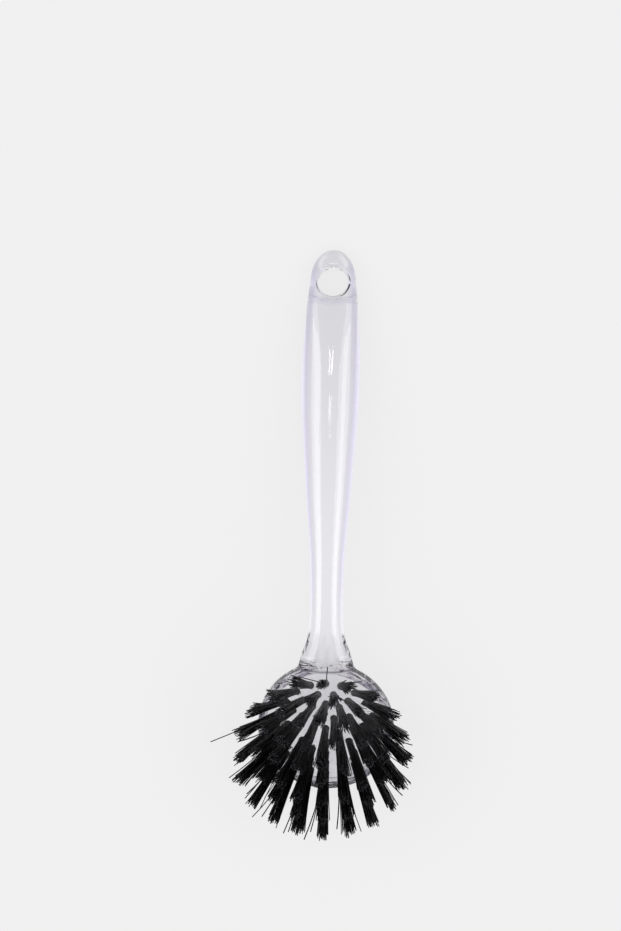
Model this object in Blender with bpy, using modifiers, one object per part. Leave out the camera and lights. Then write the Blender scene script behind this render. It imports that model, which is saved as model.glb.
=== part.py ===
"""Dish brush with a round head, modelled at its real size in metres.

Run it with blender --background --python part.py, or from Blender's text editor.

One clear moulding is the ring tab, the grip, the neck and the head. The head holds nylon tufts, each
folded into a blind hole of its own, and they fan out from its middle. The brush lies on its back
with the bristles up: X runs across it, Y towards the ring tab and Z up. It rests on the ring tab
and on the far edge of the head, and the origin is under the middle of its box.
"""

from math import atan2, cos, pi, radians, sin

import bmesh
import bpy
import numpy as np
from mathutils import Matrix, Vector

# Length of the centre line, from the end of the ring tab to inside the head, in metres
handle_length = 0.2030

# Ring tab, with places measured along the centre line from its end
ring_nose = 0.0142
ring_width = 0.0206
ring_half_thickness = 0.0037
hang_bore = 0.0140
hang_place = 0.0149
hang_edge_round = 0.0008
hang_edge_rise = 0.0003

# Shoulder between the flat tab and the grip, a shallow ramp that bows towards the head
shoulder_place = 0.0228
shoulder_run = 0.0022
shoulder_front = 0.0056
shoulder_bow = 0.0026

# Grip, the widest place of the handle
grip_place = 0.0600
grip_width = 0.0267
grip_front = 0.0076
grip_back = 0.0070

# Flare, from the narrowest place of the neck to the end of the centre line
flare_run = 0.0470
flare_width = 0.0290
flare_crest = 0.0066
flare_sink = 0.0003

# Neck, the narrowest place
neck_place = handle_length - flare_run
neck_width = 0.0150
neck_front = 0.0046
neck_back = 0.0044

# Raised step in which the flare ends above the bristle face
step_to_end = 0.0112
step_place = handle_length - step_to_end
step_run = 0.0030
step_bow = 0.0015

# Head, a turned disc whose face holds the bristles
head_diameter = 0.0630
head_thickness = 0.0080
face_edge_run = 0.0012
face_edge_drop = 0.0010
back_round = 0.0040
head_reach = 0.0191

# Slopes of the centre line against the middle of the handle
ring_slope = radians(9.0)
head_slope = radians(-20.0)

# Tufts and the blind holes that hold them
tuft_hole = 0.0036
hole_depth = 0.0056
tuft_clearance = 0.0003
tuft_collar = 0.0012
bristle_length = 0.0345
bristle_ragged = 0.0006
outer_ring_margin = 0.0073
outer_ring_radius = head_diameter / 2 - face_edge_run - outer_ring_margin
fan_angle = radians(27.0)
tuft_spread = 0.0004

# Cutters run past what they cut by this much
overrun = 0.0015
# Points of a turned profile closer than this are one
merge_gap = 0.00001

# Swell of the handle between its named places: share of the way, share of the change in size
ring_to_grip_shares = ((0.2, 0.3), (0.39, 0.57), (0.67, 0.85), (1.0, 1.0))
grip_to_neck_shares = (
    (0.16, 0.07), (0.38, 0.316), (0.58, 0.547), (0.77, 0.83), (0.92, 0.98), (1.0, 1.0)
)
neck_to_head_shares = (
    (0.33, 0.054), (0.43, 0.11), (0.53, 0.21), (0.64, 0.45), (0.745, 0.66), (0.86, 0.85), (1.0, 1.0)
)
# Slope of the centre line: share of the handle's length, share of the slope at that end
ring_slope_shares = ((0.0, 1.0), (0.1, 0.92), (0.3, 0.55), (0.55, 0.0))
head_slope_shares = ((0.72, 0.17), (0.85, 0.44), (0.94, 0.86), (1.0, 1.0))

# Squareness of the cross section: 2 is an ellipse, and more is closer to a rectangle
ring_squareness = 4.0
grip_squareness = 2.2
neck_squareness = 2.2
flare_squareness = 2.9

# Strands stand in two rings on a tuft's collar, as shares of the collar's radius
inner_strand_share = 0.28
outer_strand_share = 0.7
inner_side_share = 0.32
outer_side_share = 0.38
inner_strands = 2
outer_strands = 6
# Steps of the wave that makes the bristle ends ragged, from strand to strand and tuft to tuft
strand_wave = 2.4
tuft_wave = 1.977

# Rings of tufts, from the middle: share of the outer ring's radius, and of its lean
ring_radius_shares = (0.0, 0.28, 0.545, 0.765, 1.0)
# Number of tufts in each ring, and angle of the first
ring_counts = (
    (1, 0.0), (5, radians(54.0)), (12, radians(90.0)), (15, radians(78.0)), (20, radians(90.0))
)

# Facets
section_points = 32
nose_stations = 8
hang_facets = 28
head_facets = 64
back_facets = 5
hole_facets = 10
collar_facets = 8
line_samples = 1200
resting_rounds = 12


def clear_scene():
    """Removes every object, so that the script starts from an empty scene."""
    for old in list(bpy.data.objects):
        bpy.data.objects.remove(old, do_unlink=True)


def new_collection(name):
    group = bpy.data.collections.new(name)
    bpy.context.scene.collection.children.link(group)
    return group


def plastic(name, colour, roughness, clearness=0.0):
    """A Principled material without metal."""
    material = bpy.data.materials.new(name)
    material.use_nodes = True
    shader = material.node_tree.nodes["Principled BSDF"]
    shader.inputs["Base Color"].default_value = (*colour, 1.0)
    shader.inputs["Roughness"].default_value = roughness
    shader.inputs["Metallic"].default_value = 0.0
    shader.inputs["Transmission Weight"].default_value = clearness
    material.diffuse_color = (*colour, 1.0)
    return material


def spline(places, values):
    """A natural cubic spline through the values, as a function of the place."""
    places, values = np.array(places), np.array(values, dtype=float)
    steps = np.diff(places)
    slopes = np.diff(values, axis=0) / steps.reshape(-1, *[1] * (values.ndim - 1))
    count = len(places)
    matrix, right = np.eye(count), np.zeros_like(values)
    for k in range(1, count - 1):
        matrix[k, k - 1 : k + 2] = steps[k - 1], 2 * (steps[k - 1] + steps[k]), steps[k]
        right[k] = 6 * (slopes[k] - slopes[k - 1])
    bends = np.linalg.solve(matrix, right)

    def at(place):
        k = int(np.clip(np.searchsorted(places, place) - 1, 0, count - 2))
        before, after = (places[k + 1] - place) / steps[k], (place - places[k]) / steps[k]
        bend = (before**3 - before) * bends[k] + (after**3 - after) * bends[k + 1]
        return before * values[k] + after * values[k + 1] + bend * steps[k] ** 2 / 6

    return at


def ease(share):
    """Runs from 0 to 1 with a soft start and a soft end."""
    share = min(max(share, 0.0), 1.0)
    return share * share * (3 - 2 * share)


def round_fall(share):
    """Falls from 1 to 0 along a quarter of an ellipse."""
    share = min(max(share, 0.0), 1.0)
    return (1 - share * share) ** 0.5


def flare_half():
    """Half the height of the flare inside the head, a little less than the head's own."""
    return head_thickness / 2 - flare_sink


def handle_sizes():
    """Width, front height, back height and squareness along the centre line, as one spline."""
    ring = (ring_nose, ring_width, shoulder_front, ring_half_thickness, ring_squareness)
    grip = (grip_place, grip_width, grip_front, grip_back, grip_squareness)
    neck = (neck_place, neck_width, neck_front, neck_back, neck_squareness)
    flare = (handle_length, flare_width, flare_crest, flare_half(), flare_squareness)
    rows = [ring]
    spans = (
        (ring, grip, ring_to_grip_shares),
        (grip, neck, grip_to_neck_shares),
        (neck, flare, neck_to_head_shares),
    )
    for start, end, shares in spans:
        for way, change in shares:
            place = start[0] + (end[0] - start[0]) * way
            sizes = [a + (b - a) * change for a, b in zip(start[1:], end[1:])]
            rows.append((place, *sizes))
    return spline([row[0] for row in rows], [row[1:] for row in rows])


def centre_line():
    """Points along the centre line in the plane of Y and Z, and its slope at each."""
    rows = [(way * handle_length, ring_slope * share) for way, share in ring_slope_shares]
    rows += [(way * handle_length, head_slope * share) for way, share in head_slope_shares]
    slope_at = spline([row[0] for row in rows], [row[1] for row in rows])
    places = np.linspace(0, handle_length, line_samples)
    slopes = np.array([slope_at(place) for place in places])
    step = places[1] - places[0]
    mid = (slopes[1:] + slopes[:-1]) / 2
    along = np.concatenate([[0.0], np.cumsum(np.cos(mid)) * step])
    up = np.concatenate([[0.0], np.cumsum(np.sin(mid)) * step])
    return places, along, up, slopes


line_places, line_along, line_up, line_slopes = centre_line()
sizes_at = handle_sizes()


def frame_at(place):
    """Point of the centre line, and the directions along it towards the head and up from it."""
    slope = np.interp(place, line_places, line_slopes)
    along = np.interp(place, line_places, line_along)
    up = np.interp(place, line_places, line_up)
    return Vector((0, -along, up)), Vector((0, -cos(slope), sin(slope))), Vector((0, sin(slope), cos(slope)))


def bow_at(place):
    """How far the sides of a cross section lie behind its middle."""
    rise = ease((place - ring_nose) / (shoulder_place - ring_nose))
    fall = ease((grip_place - place) / (grip_place - shoulder_place - shoulder_run))
    step = ease((place - neck_place) / (step_place - neck_place))
    return shoulder_bow * rise * fall + step_bow * step


def handle_section(place):
    """Points round the handle at one place of the centre line."""
    width, front, back, squareness = sizes_at(max(place, ring_nose))
    over_shoulder = ease((place - shoulder_place) / shoulder_run)
    before_step = round_fall((place - step_place) / step_run)
    if place < grip_place:
        front = ring_half_thickness + (front - ring_half_thickness) * over_shoulder
    else:
        front = flare_half() + (front - flare_half()) * before_step
    nose = max(1 - place / ring_nose, 0.0)
    half_width = width / 2 * (1 - nose * nose) ** 0.5
    origin, ahead, up = frame_at(place)
    points = []
    for k in range(section_points):
        turn = 2 * pi * k / section_points
        across = abs(cos(turn)) ** (2 / squareness) * (1 if cos(turn) > 0 else -1)
        reach = min((across**2 + nose**2 * (1 - across**2)) ** 0.5, 1.0)
        height = (1 - reach**squareness) ** (1 / squareness)
        height *= front if sin(turn) > 0 else -back
        behind = bow_at(place) * across**2
        points.append(origin - ahead * behind + up * height + Vector((half_width * across, 0, 0)))
    return points


def handle_stations():
    """Places of the cross sections, closer together where the shape changes fast."""
    places = [
        ring_nose * (1 - cos(pi / 2 * k / nose_stations)) for k in range(1, nose_stations + 1)
    ]
    landmarks = (
        (shoulder_place, 3),
        (shoulder_place + shoulder_run, 4),
        (grip_place, 6),
        (neck_place, 10),
        (step_place, 9),
        (step_place + step_run, 6),
        (handle_length, 3),
    )
    for landmark, count in landmarks:
        start = places[-1]
        places += [start + (landmark - start) * k / count for k in range(1, count + 1)]
    return places


def mesh_object(name, mesh_data, group, material=None):
    thing = bpy.data.objects.new(name, mesh_data)
    group.objects.link(thing)
    if material:
        mesh_data.materials.append(material)
    return thing


def to_mesh(shape, name):
    """Ends a bmesh and returns its mesh, with its faces turned outwards."""
    bmesh.ops.recalc_face_normals(shape, faces=shape.faces[:])
    mesh_data = bpy.data.meshes.new(name)
    shape.to_mesh(mesh_data)
    shape.free()
    return mesh_data


def lofted_handle(group, material):
    """Skins the cross sections from the end of the ring tab to inside the head."""
    shape = bmesh.new()
    loops = [[shape.verts.new(p) for p in handle_section(place)] for place in handle_stations()]
    tip = shape.verts.new(frame_at(0)[0])
    for k in range(section_points):
        after = (k + 1) % section_points
        shape.faces.new((tip, loops[0][k], loops[0][after]))
        for near, far in zip(loops, loops[1:]):
            shape.faces.new((near[k], far[k], far[after], near[after]))
    shape.faces.new(loops[-1])
    return mesh_object("handle", to_mesh(shape, "handle"), group, material)


def turned(name, profile, facets, group):
    """Turns a profile of (radius, height) points about Z. It runs from the top to the bottom."""
    shape = bmesh.new()
    verts = [shape.verts.new((radius, 0, height)) for radius, height in profile]
    for start, end in zip(verts, verts[1:]):
        shape.edges.new((start, end))
    mesh_data = bpy.data.meshes.new(name)
    shape.to_mesh(mesh_data)
    shape.free()
    thing = mesh_object(name, mesh_data, group)
    screw = thing.modifiers.new("turn", "SCREW")
    screw.axis = "Z"
    screw.angle = 2 * pi
    screw.steps = screw.render_steps = facets
    screw.use_merge_vertices = True
    screw.merge_threshold = merge_gap
    return thing


def as_cutter(thing):
    thing.hide_render = True
    thing.display_type = "WIRE"
    return thing


def head_frame():
    """Middle of the bristle face, its direction towards the handle and its direction out."""
    origin, ahead, up = frame_at(handle_length)
    return origin + ahead * head_reach + up * (head_thickness / 2), -ahead, up


def placed(middle, towards, out):
    """Matrix that puts X across the brush, Y along `towards` and Z along `out`."""
    return Matrix.Translation(middle) @ Matrix((Vector((1, 0, 0)), towards, out)).transposed().to_4x4()


def head_disc(group):
    """The round head with its flat bristle face up, and its back edge rounded."""
    radius = head_diameter / 2
    profile = [(0, 0), (radius - face_edge_run, 0), (radius, -face_edge_drop)]
    for k in range(back_facets + 1):
        turn = pi / 2 * k / back_facets
        across = radius - back_round * (1 - cos(turn))
        profile.append((across, -head_thickness + back_round * (1 - sin(turn))))
    profile.append((0, -head_thickness))
    disc = turned("head_disc", profile, head_facets, group)
    disc.matrix_world = placed(*head_frame())
    return as_cutter(disc)


def hang_cutter(group):
    """Bore of the hang hole, flared at both faces of the tab so that its edges are eased."""
    radius, half = hang_bore / 2, ring_half_thickness
    mouth, rise = radius + hang_edge_round + hang_edge_rise, half + hang_edge_rise
    upper = [(0, rise + overrun), (mouth, rise + overrun), (mouth, rise), (radius, half - hang_edge_round)]
    profile = upper + [(across, -height) for across, height in reversed(upper)]
    cutter = turned("hang_cutter", profile, hang_facets, group)
    origin, ahead, up = frame_at(hang_place)
    cutter.matrix_world = placed(origin, -ahead, up)
    return as_cutter(cutter)


def tuft_places():
    """Name, root on the bristle face and direction of each tuft, ring by ring from the middle."""
    middle, towards, out = head_frame()
    places = []
    for ring, (share, (count, first)) in enumerate(zip(ring_radius_shares, ring_counts), start=1):
        radius, lean = outer_ring_radius * share, fan_angle * share
        for k in range(count):
            turn = first + 2 * pi * k / count
            radial = Vector((cos(turn), 0, 0)) + towards * sin(turn)
            direction = out * cos(lean) + radial * sin(lean)
            places.append((f"tuft_{ring}_{k + 1:02d}", middle + radial * radius, direction))
    return places


def pointing(root, direction):
    """Matrix that puts Z along a tuft, with its X level with the brush's own."""
    side = Vector((0, 1, 0)).cross(direction).normalized()
    return Matrix.Translation(root) @ Matrix((side, direction.cross(side), direction)).transposed().to_4x4()


def add_cone(shape, radius, sides, low, high, turn=0.0):
    """Adds a closed prism from low to high, and returns its corners."""
    spin = Matrix.Translation((0, 0, (low + high) / 2)) @ Matrix.Rotation(turn, 4, "Z")
    made = bmesh.ops.create_cone(
        shape, cap_ends=True, segments=sides, radius1=radius, radius2=radius, depth=high - low, matrix=spin
    )
    return made["verts"]


def hole_cutters(group):
    """All the blind tuft holes as one cutter. They don't meet."""
    shape = bmesh.new()
    for name, root, direction in tuft_places():
        matrix = pointing(root, direction)
        verts = add_cone(shape, tuft_hole / 2, hole_facets, -hole_depth, tuft_hole / 2 + overrun)
        bmesh.ops.transform(shape, matrix=matrix, verts=verts)
    return as_cutter(mesh_object("hole_cutters", to_mesh(shape, "hole_cutters"), group))


def boolean(thing, other, operation):
    step = thing.modifiers.new(operation.lower(), "BOOLEAN")
    step.operation = operation
    step.object = other
    step.solver = "EXACT"


def strand_rings(collar_radius):
    """Distance from the tuft's axis, angle and side of each strand."""
    strands = []
    for k in range(inner_strands):
        turn = 2 * pi * (k + 0.5) / inner_strands
        strands.append((inner_strand_share * collar_radius, turn, inner_side_share * collar_radius))
    for k in range(outer_strands):
        turn = 2 * pi * k / outer_strands
        strands.append((outer_strand_share * collar_radius, turn, outer_side_share * collar_radius))
    return strands


def tuft(name, number, root, direction, group, cutters, material):
    """A folded root that fills its hole, with the strands that stand on it."""
    radius = tuft_hole / 2 - tuft_clearance
    foot = -hole_depth + tuft_clearance
    collar = bmesh.new()
    add_cone(collar, radius, collar_facets, foot, tuft_collar)
    thing = mesh_object(name, to_mesh(collar, name), group, material)
    strands = bmesh.new()
    for k, (distance, turn, side) in enumerate(strand_rings(radius)):
        trim = bristle_ragged * sin(strand_wave * k + tuft_wave * number)
        low, high = tuft_collar - tuft_clearance, bristle_length + trim
        verts = add_cone(strands, side / 2**0.5, 4, low, high, pi / 4)
        outward = Matrix.Rotation(turn, 4, "Z")
        for vert in verts:
            spread = tuft_spread * (vert.co.z - low) / (high - low)
            vert.co.x += distance + spread * distance / (outer_strand_share * radius)
            vert.co = outward @ vert.co
    bundle = as_cutter(mesh_object(f"{name}_strands", to_mesh(strands, "strands"), cutters))
    matrix = pointing(root, direction)
    thing.matrix_world = matrix
    bundle.matrix_world = matrix
    boolean(thing, bundle, "UNION")
    return thing


def all_points(things):
    """World coordinates of every corner of the finished shapes."""
    bpy.context.view_layer.update()
    depsgraph = bpy.context.evaluated_depsgraph_get()
    points = []
    for thing in things:
        seen = thing.evaluated_get(depsgraph)
        flat = np.empty(len(seen.data.vertices) * 3)
        seen.data.vertices.foreach_get("co", flat)
        matrix = np.array(seen.matrix_world)
        points.append(flat.reshape(-1, 3) @ matrix[:3, :3].T + matrix[:3, 3])
    return np.concatenate(points)


def resting_turn(points):
    """Turn about X that puts the lowest point of the ring tab and of the head at one height."""
    middle = (points[:, 1].min() + points[:, 1].max()) / 2
    turn = 0.0
    for _ in range(resting_rounds):
        along = points[:, 1] * cos(turn) - points[:, 2] * sin(turn)
        height = points[:, 1] * sin(turn) + points[:, 2] * cos(turn)
        tab_side = points[:, 1] > middle
        tab, head = height[tab_side].argmin(), height[~tab_side].argmin()
        rise = height[tab_side][tab] - height[~tab_side][head]
        turn -= atan2(rise, along[tab_side][tab] - along[~tab_side][head])
    return turn


def build():
    clear_scene()
    parts = new_collection("dish_brush")
    cutters = new_collection("cutters")
    clear_plastic = plastic("clear_plastic", (0.85, 0.84, 0.93), 0.05, 0.9)
    nylon = plastic("black_nylon", (0.012, 0.012, 0.014), 0.4)

    handle = lofted_handle(parts, clear_plastic)
    boolean(handle, head_disc(cutters), "UNION")
    boolean(handle, hang_cutter(cutters), "DIFFERENCE")
    boolean(handle, hole_cutters(cutters), "DIFFERENCE")
    moving = [handle]
    for number, (name, root, direction) in enumerate(tuft_places()):
        moving.append(tuft(name, number, root, direction, parts, cutters, nylon))
    for piece in moving:
        piece.data.shade_smooth()
        piece.data.set_sharp_from_angle(angle=radians(35.0))

    turn = resting_turn(all_points([handle]))
    lying = bpy.data.objects.new("lying_on_its_back", None)
    parts.objects.link(lying)
    for thing in (*moving, *cutters.objects):
        thing.parent = lying
    lying.rotation_euler.x = turn
    points = all_points(moving)
    low, high = points.min(axis=0), points.max(axis=0)
    lying.location = (-(low[0] + high[0]) / 2, -(low[1] + high[1]) / 2, -low[2])
    bpy.context.view_layer.update()


build()
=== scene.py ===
# %% [markdown]
# # A dish brush, dressed for its portrait
# The brush is one clear moulding, with a ring tab, a grip, a neck and a round head, and black nylon
# tufts that fan out of blind holes in the head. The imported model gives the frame: every piece here
# is built in metres, in the model's own place, and all but the anchor strips take over from a solid.

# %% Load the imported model
from math import cos, pi, radians, sin

import bpy
import numpy as np
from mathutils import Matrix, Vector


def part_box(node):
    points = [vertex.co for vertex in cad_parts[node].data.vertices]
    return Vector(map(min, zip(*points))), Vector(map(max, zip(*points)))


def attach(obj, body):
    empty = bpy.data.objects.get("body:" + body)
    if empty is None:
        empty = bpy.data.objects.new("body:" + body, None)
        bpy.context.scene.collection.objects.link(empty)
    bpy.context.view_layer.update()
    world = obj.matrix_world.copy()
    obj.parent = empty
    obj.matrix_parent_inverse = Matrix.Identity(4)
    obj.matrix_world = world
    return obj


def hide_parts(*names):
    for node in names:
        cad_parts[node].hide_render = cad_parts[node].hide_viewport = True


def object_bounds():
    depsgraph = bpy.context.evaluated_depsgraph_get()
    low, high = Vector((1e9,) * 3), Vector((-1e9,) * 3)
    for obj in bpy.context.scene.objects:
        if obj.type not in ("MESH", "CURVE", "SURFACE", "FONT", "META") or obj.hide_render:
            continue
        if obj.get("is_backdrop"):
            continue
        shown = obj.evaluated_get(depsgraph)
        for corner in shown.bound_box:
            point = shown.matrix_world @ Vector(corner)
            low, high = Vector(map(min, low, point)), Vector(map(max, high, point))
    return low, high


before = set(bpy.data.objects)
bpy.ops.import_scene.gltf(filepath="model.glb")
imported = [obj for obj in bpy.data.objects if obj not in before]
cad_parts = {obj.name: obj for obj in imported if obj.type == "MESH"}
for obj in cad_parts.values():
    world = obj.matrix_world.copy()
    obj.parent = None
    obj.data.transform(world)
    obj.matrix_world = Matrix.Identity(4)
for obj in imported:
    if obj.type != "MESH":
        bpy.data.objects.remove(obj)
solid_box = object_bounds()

print("solids:", len(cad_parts))
print("box, mm:", [[round(value * 1000, 1) for value in corner] for corner in solid_box])

# %% [markdown]
# ## Camera
# The photograph looks almost straight down on the bristle side from a little over a metre away. The
# turns, place and lens were found by matching the ring tab, the hang hole and two dozen tuft roots.
# The sensor is set by its height, because the picture is taller than it is wide.

# %% Camera
camera_place = (0.0577, 0.1293, 1.1124)
camera_turns = [radians(turn) for turn in (-4.847, 3.530, 0.784)]
camera_lens = 62.05
camera_data = bpy.data.cameras.new("camera")
camera_data.sensor_fit = "VERTICAL"
camera_data.sensor_height = 24.0
camera_data.lens = camera_lens
camera = bpy.data.objects.new("camera", camera_data)
camera.location = camera_place
camera.rotation_euler = camera_turns
bpy.context.scene.collection.objects.link(camera)
bpy.context.scene.camera = camera
print("camera is", round(camera_place[2], 3), "m above the floor, lens", camera_lens, "mm")

# %% [markdown]
# ## Colours and nodes
# Every colour is written as the sRGB hex value that the eye would name, and one function turns it
# into the linear light that the renderer works with. One small function adds a node with its
# settings and links, so each material below reads as a list of what feeds what.

# %% Colour and node helpers
def linear(hex_colour):
    """Linear RGBA of an sRGB hex colour.

    Each channel c becomes ((c + 0.055) / 1.055) ** 2.4, or c / 12.92 where c is at most 0.04045.
    """
    channels = [int(hex_colour[k : k + 2], 16) / 255 for k in (1, 3, 5)]
    return (*[c / 12.92 if c <= 0.04045 else ((c + 0.055) / 1.055) ** 2.4 for c in channels], 1.0)


def node(tree, kind, settings=None, **links):
    """Adds a node to the tree. Its kind is the type's name without ShaderNode in front.

    Settings are its properties, or input values by name or number. Each link feeds an input from an
    output or from a node's first output: _ in its name is a space, and _6 is input number 6.
    """
    made = tree.nodes.new("ShaderNode" + kind)
    for key, value in (settings or {}).items():
        if isinstance(key, int) or key in made.inputs:
            made.inputs[key].default_value = value
        else:
            setattr(made, key, value)
    for key, source in links.items():
        slot = made.inputs[int(key[1:])] if key[1:].isdigit() else made.inputs[key.replace("_", " ")]
        tree.links.new(source.outputs[0] if isinstance(source, bpy.types.Node) else source, slot)
    return made


def new_material(name):
    """A new material with an empty node tree, and that tree."""
    material = bpy.data.materials.new(name)
    material.use_nodes = True
    material.node_tree.nodes.clear()
    return material, material.node_tree


print("a pale grey of #F1F1F1 is", [round(c, 3) for c in linear("#F1F1F1")[:3]])

# %% [markdown]
# ## Numbers that the handle shares with its solid
# The outline of the real handle was read off the photograph as widths at named places along its
# centre line, and its heights were judged from those. The solid uses the same numbers, so the
# smooth skin here lies on it. All lengths are in metres, and places are counted from the tab's end.

# %% Sizes of the handle
handle_length = 0.2030
ring_nose = 0.0142
ring_half_thickness = 0.0037
shoulder_place, shoulder_run, shoulder_bow = 0.0228, 0.0022, 0.0026
grip_place, neck_place = 0.0600, 0.1560
step_place, step_run, step_bow = 0.1918, 0.0030, 0.0015
head_radius, head_half, head_reach = 0.0315, 0.0040, 0.0191
face_edge_run, face_edge_drop = 0.0012, 0.0010

# Width, front height, back height and squareness at the ring, grip, neck and head
ring_sizes = (0.0206, 0.0056, ring_half_thickness, 4.0)
grip_sizes = (0.0267, 0.0076, 0.0070, 2.2)
neck_sizes = (0.0150, 0.0046, 0.0044, 2.2)
flare_sizes = (0.0290, 0.0066, 0.0037, 2.9)

# Share of the way from one of them to the next, and share of the change in size by then
ring_to_grip = ((0.2, 0.3), (0.39, 0.57), (0.67, 0.85), (1.0, 1.0))
grip_to_neck = ((0.16, 0.07), (0.38, 0.316), (0.58, 0.547), (0.77, 0.83), (0.92, 0.98), (1.0, 1.0))
neck_to_head = (
    (0.33, 0.054), (0.43, 0.11), (0.53, 0.21), (0.64, 0.45), (0.745, 0.66), (0.86, 0.85), (1.0, 1.0),
)
print("centre line", handle_length * 1000, "mm, head", head_radius * 2000, "mm across")

# %% [markdown]
# ## Smooth curves through those sizes
# A real moulding has no corners between its named places, because its mould was cut on smooth
# curves. Straight lines between the numbers would show as bands in the highlights. A spline runs
# through all of them and its bend never jumps, like that of a thin batten laid round pins.

# %% Smooth curve through numbers
def smooth_curve(places, values):
    """A natural cubic spline: piecewise cubics that agree in value, slope and bend where they meet."""
    places, values = np.array(places, float), np.array(values, float).reshape(len(places), -1)
    steps = np.diff(places)
    slopes = np.diff(values, axis=0) / steps[:, None]
    inner = np.arange(1, len(places) - 1)
    matrix, right = np.eye(len(places)), np.zeros_like(values)
    matrix[inner, inner - 1], matrix[inner, inner + 1] = steps[:-1], steps[1:]
    matrix[inner, inner] = 2 * (steps[:-1] + steps[1:])
    right[inner] = 6 * np.diff(slopes, axis=0)
    bends = np.linalg.solve(matrix, right)

    def at(place):
        """Both neighbours' values by nearness t, plus (t^3 - t) times each bend times step^2 / 6.

        A neighbour's nearness is 1 at its own place and 0 at the other's.
        """
        place = np.atleast_1d(place)
        k = np.clip(np.searchsorted(places, place) - 1, 0, len(steps) - 1)
        step = steps[k][:, None]
        before, after = (places[k + 1] - place)[:, None] / step, (place - places[k])[:, None] / step
        bend = (before**3 - before) * bends[k] + (after**3 - after) * bends[k + 1]
        return before * values[k] + after * values[k + 1] + bend * step**2 / 6

    return at


def ease(share):
    """3 s^2 - 2 s^3 of a share s held between 0 and 1: a soft start and a soft end."""
    share = np.clip(share, 0.0, 1.0)
    return share * share * (3 - 2 * share)


# Place and sizes of every section that the splines pass through
rows = [(ring_nose, *ring_sizes)]
spans = (
    (ring_nose, ring_sizes, grip_place, grip_sizes, ring_to_grip),
    (grip_place, grip_sizes, neck_place, neck_sizes, grip_to_neck),
    (neck_place, neck_sizes, handle_length, flare_sizes, neck_to_head),
)
for start, first, end, last, shares in spans:
    rows += [
        (start + (end - start) * way, *[a + (b - a) * change for a, b in zip(first, last)])
        for way, change in shares
    ]
sizes_at = smooth_curve([row[0] for row in rows], [row[1:] for row in rows])
print("sections on the spline:", len(rows))
print("width at the neck:", round(float(sizes_at(neck_place)[0, 0]) * 1000, 2), "mm")

# %% [markdown]
# ## Centre line
# Seen from the side the real handle is a long shallow arch: the tab rises a little and the head
# tips down by 20 degrees. The slope is a smooth curve of the place, and the line itself is the sum
# of its small steps. Past its end, inside the head, it runs on straight.

# %% Centre line
ring_slope, head_slope = radians(9.0), radians(-20.0)
# Share of the centre line, and its slope there
slope_shares = (
    (0.0, ring_slope), (0.1, 0.92 * ring_slope), (0.3, 0.55 * ring_slope), (0.55, 0.0),
    (0.72, 0.17 * head_slope), (0.85, 0.44 * head_slope), (0.94, 0.86 * head_slope), (1.0, head_slope),
)
line_places = np.linspace(0, handle_length, 1200)
slope_places = [share * handle_length for share, _ in slope_shares]
slope_at = smooth_curve(slope_places, [slope for _, slope in slope_shares])
line_slopes = slope_at(line_places)[:, 0]
middles = (line_slopes[1:] + line_slopes[:-1]) / 2
line_along = np.concatenate([[0.0], np.cumsum(np.cos(middles))]) * line_places[1]
line_up = np.concatenate([[0.0], np.cumsum(np.sin(middles))]) * line_places[1]


def frame_at(place):
    """Points of the centre line, and unit directions towards the head and up from the line there.

    Where the slope is s, ahead is (0, -cos s, sin s) and up is (0, sin s, cos s).
    """
    slope = np.interp(place, line_places, line_slopes)
    past = np.maximum(np.asarray(place) - handle_length, 0)
    none = np.zeros_like(slope)
    ahead = np.stack([none, -np.cos(slope), np.sin(slope)], -1)
    up = np.stack([none, np.sin(slope), np.cos(slope)], -1)
    along, height = np.interp(place, line_places, line_along), np.interp(place, line_places, line_up)
    origin = np.stack([none, -along, height], -1)
    return origin + ahead * past[..., None], ahead, up


head_place = handle_length + head_reach
head_middle, head_ahead, head_up = frame_at(np.array(head_place))
print("the head's middle lies", round(-head_middle[1] * 1000, 1), "mm from the tab's end")

# %% [markdown]
# ## The clear moulding as one skin
# A boolean of neck and disc would leave a hard seam where the real moulding has a soft fillet. So
# the skin is found as a surface instead: from the centre line, rays go out in every direction of
# each cross section, and each ray stops where a distance function of neck and head is zero. The two
# distances are joined by a smooth minimum, whose width is the fillet.

# %% Distance to the neck and to the head
def to_section(across, height, half_width, half_height, squareness):
    """Distance to a superellipse |x/a|^n + |y/b|^n = 1, of squareness n.

    It is r - 1 over the length of the gradient of r, where r is the n-th root of that sum.
    """
    x, y = np.abs(across) / half_width, np.abs(height) / half_height
    r = np.maximum((x**squareness + y**squareness) ** (1 / squareness), 1e-9)
    slope_x = (x / r) ** (squareness - 1) / half_width
    slope_y = (y / r) ** (squareness - 1) / half_height
    return (r - 1) / np.sqrt(slope_x**2 + slope_y**2)


def to_head(points):
    """Distance to the round head: the largest of those to its wall, its face and its back.

    At the face's edge a quarter ellipse takes over, and at the back's edge a quarter circle.
    """
    offset = points - head_middle
    along, height = offset @ head_ahead, offset @ head_up
    radial = np.hypot(offset[..., 0], along)
    flat = np.maximum(np.maximum(radial - head_radius, height - head_half), -head_half - height)
    edge_start, edge_foot = head_radius - face_edge_run, head_half - face_edge_drop
    face_edge = to_section(radial - edge_start, height - edge_foot, face_edge_run, face_edge_drop, 2.0)
    back_start = head_radius - head_half
    back_edge = np.hypot(radial - back_start, height) - head_half
    flat = np.where((radial > edge_start) & (height > edge_foot), face_edge, flat)
    return np.where((radial > back_start) & (height < 0), back_edge, flat)


def smooth_minimum(a, b, width):
    """The smaller of two distances, less a quarter of the width times their nearness squared.

    Their nearness is 1 where they are equal, and 0 where they differ by the width or more.
    """
    near = np.maximum(width - np.abs(a - b), 0) / width
    return np.minimum(a, b) - near * near * width / 4


print("the face lies", round(float(to_head(head_middle)) * -1000, 2), "mm from the head's middle")

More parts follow.
